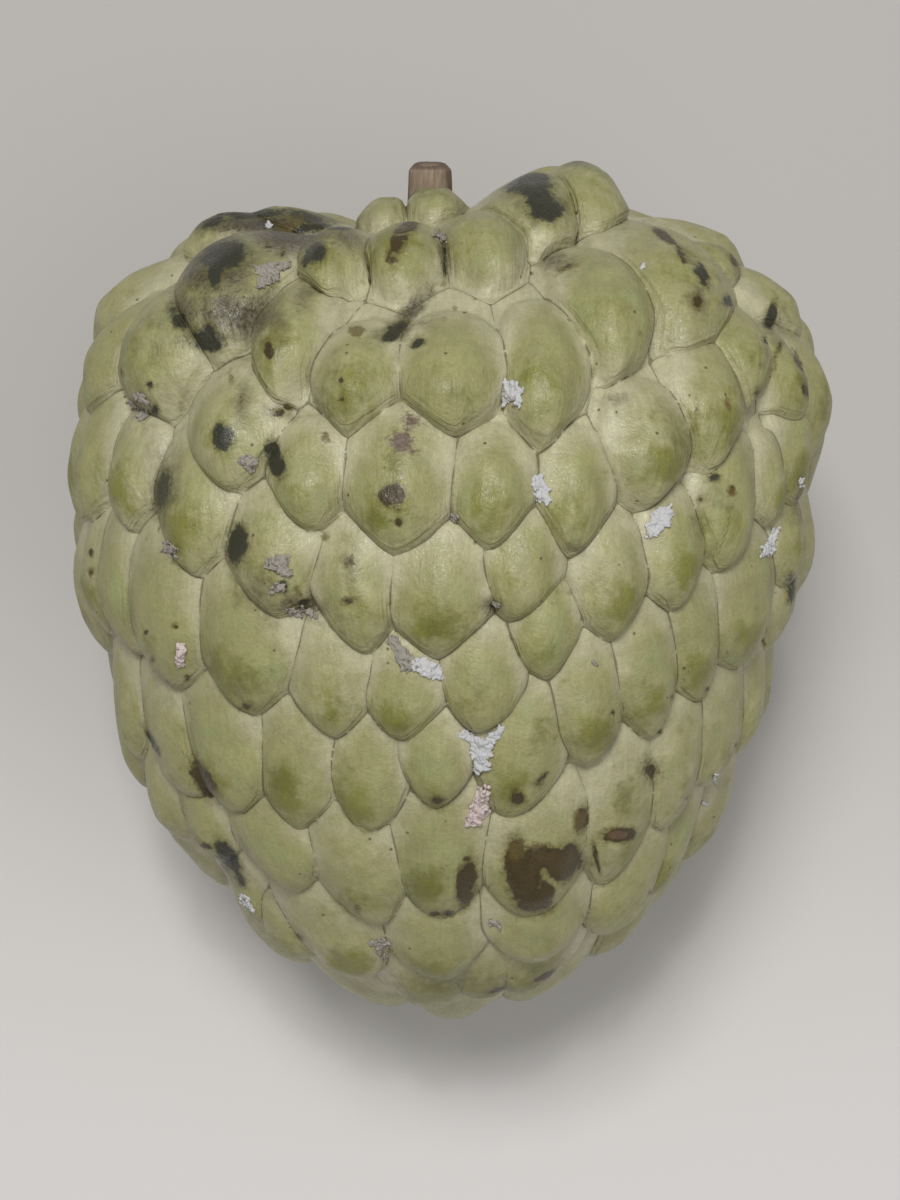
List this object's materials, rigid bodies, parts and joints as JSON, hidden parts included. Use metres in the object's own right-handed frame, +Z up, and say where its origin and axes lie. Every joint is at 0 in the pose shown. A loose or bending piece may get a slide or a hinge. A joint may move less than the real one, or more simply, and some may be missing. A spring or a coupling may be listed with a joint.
{
  "type": "atemoya",
  "caption": "Heart-shaped tropical fruit with overlapping domed scales in spiral rows and a short cut stem, lying on one flank; a whole fruit to eat, display or carry.",
  "frame": {"origin": "on the surface that the fruit rests on, under the middle of its box", "axes": "+Z up from the surface, +Y along the fruit towards its stem end, +X to the right as it is seen in the picture with the stem at the top"},
  "size_m": [0.0969, 0.1091, 0.0936],
  "materials": {
    "skin": "pale yellow-green fruit skin, waxy, with olive patches and dark blemishes",
    "bark": "dry grey-brown bark, rough"
  },
  "bodies": {
    "root": {"fruit": "skin", "stem": "bark"}
  },
  "joints": []
}
